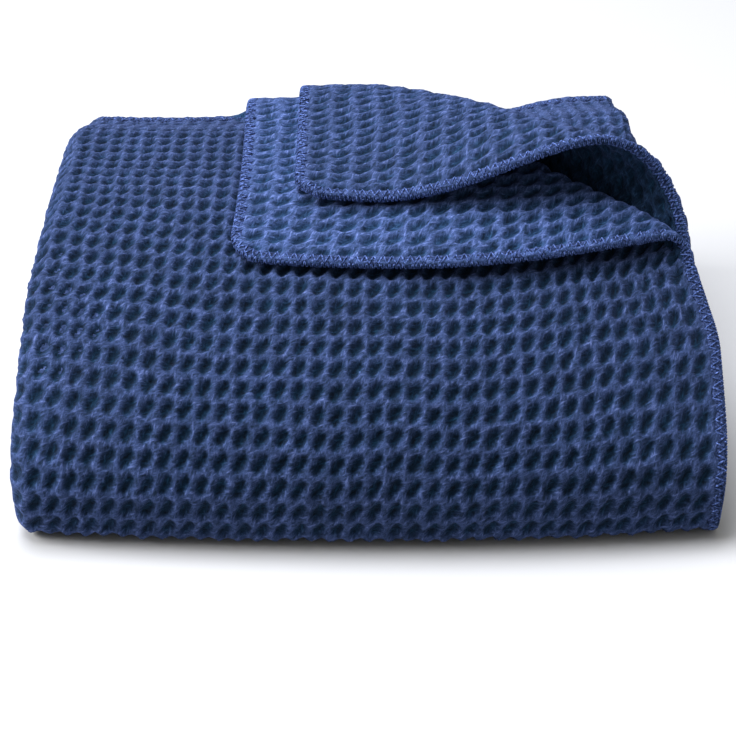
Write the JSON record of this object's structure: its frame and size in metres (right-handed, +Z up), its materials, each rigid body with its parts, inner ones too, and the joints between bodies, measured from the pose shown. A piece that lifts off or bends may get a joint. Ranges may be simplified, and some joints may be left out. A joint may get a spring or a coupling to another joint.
{
  "type": "folded throw blanket",
  "caption": "Waffle-weave throw blanket folded into a thick stack, with overlocked hems and two open corners turned back diagonally on top.",
  "frame": {"origin": "on the floor, under the middle of the stack's bounding box", "axes": "+X to the side with the open hems, +Y to the back with the ends of the folded strip, +Z up; the rounded front fold faces -Y"},
  "size_m": [0.3808, 0.3506, 0.1825],
  "materials": {
    "waffle_cloth": "matte",
    "hem_thread": "matte"
  },
  "bodies": {
    "folded_stack": {"back_fold_lower_1": "waffle_cloth", "back_fold_lower_2": "waffle_cloth", "back_fold_lower_3": "waffle_cloth", "back_fold_lower_4": "waffle_cloth", "back_fold_upper_1": "waffle_cloth", "back_fold_upper_2": "waffle_cloth", "back_fold_upper_3": "waffle_cloth", "back_fold_upper_4": "waffle_cloth", "end_hem_01": "hem_thread", "end_hem_02": "hem_thread", "end_hem_03": "hem_thread", "end_hem_04": "hem_thread", "end_hem_09": "hem_thread", "end_hem_10": "hem_thread", "end_hem_11": "hem_thread", "end_hem_12": "hem_thread", "layer_01": "waffle_cloth", "layer_02": "waffle_cloth", "layer_03": "waffle_cloth", "layer_04": "waffle_cloth", "layer_05": "waffle_cloth", "layer_06": "waffle_cloth", "layer_07": "waffle_cloth", "layer_08": "waffle_cloth", "layer_09": "waffle_cloth", "layer_10": "waffle_cloth", "layer_11": "waffle_cloth", "layer_12": "waffle_cloth", "left_core_fold_inner_pass": "waffle_cloth", "left_core_fold_middle_pass": "waffle_cloth", "left_core_fold_outer_pass": "waffle_cloth", "left_fold_inner_pass": "waffle_cloth", "left_fold_middle_pass": "waffle_cloth", "left_fold_outer_pass": "waffle_cloth", "right_fold_inner_pass": "waffle_cloth", "right_fold_middle_pass": "waffle_cloth", "right_fold_outer_pass": "waffle_cloth", "right_hem_01": "hem_thread", "right_hem_02": "hem_thread", "right_hem_07": "hem_thread", "right_hem_08": "hem_thread", "right_hem_09": "hem_thread", "right_hem_10": "hem_thread"},
    "lower_corner": {"lower_corner_flap": "waffle_cloth", "lower_corner_hem": "hem_thread", "lower_corner_roll": "waffle_cloth", "lower_roll_hem_right": "hem_thread", "lower_roll_hem_back": "hem_thread"},
    "upper_corner": {"upper_corner_flap": "waffle_cloth", "upper_corner_hem": "hem_thread", "upper_corner_roll": "waffle_cloth", "upper_roll_hem_right": "hem_thread", "upper_roll_hem_back": "hem_thread"}
  },
  "joints": [
    {"name": "upper_corner_fold", "type": "hinge", "parent": "folded_stack", "child": "upper_corner", "pos_m": [0.072, 0.057, 0.1538], "axis": [-0.7071, 0.7071, 0], "range_deg": [0, 170], "deforming": ["upper_corner_roll", "upper_roll_hem_right", "upper_roll_hem_back"]},
    {"name": "lower_corner_fold", "type": "hinge", "parent": "folded_stack", "child": "lower_corner", "pos_m": [0.0565, 0.0415, 0.1478], "axis": [-0.7071, 0.7071, 0], "range_deg": [0, 85], "deforming": ["lower_corner_roll", "lower_roll_hem_right", "lower_roll_hem_back"]}
  ],
  "couplings": [
    {"joint": "lower_corner_fold", "follows": "upper_corner_fold", "ratio": 0.5}
  ]
}
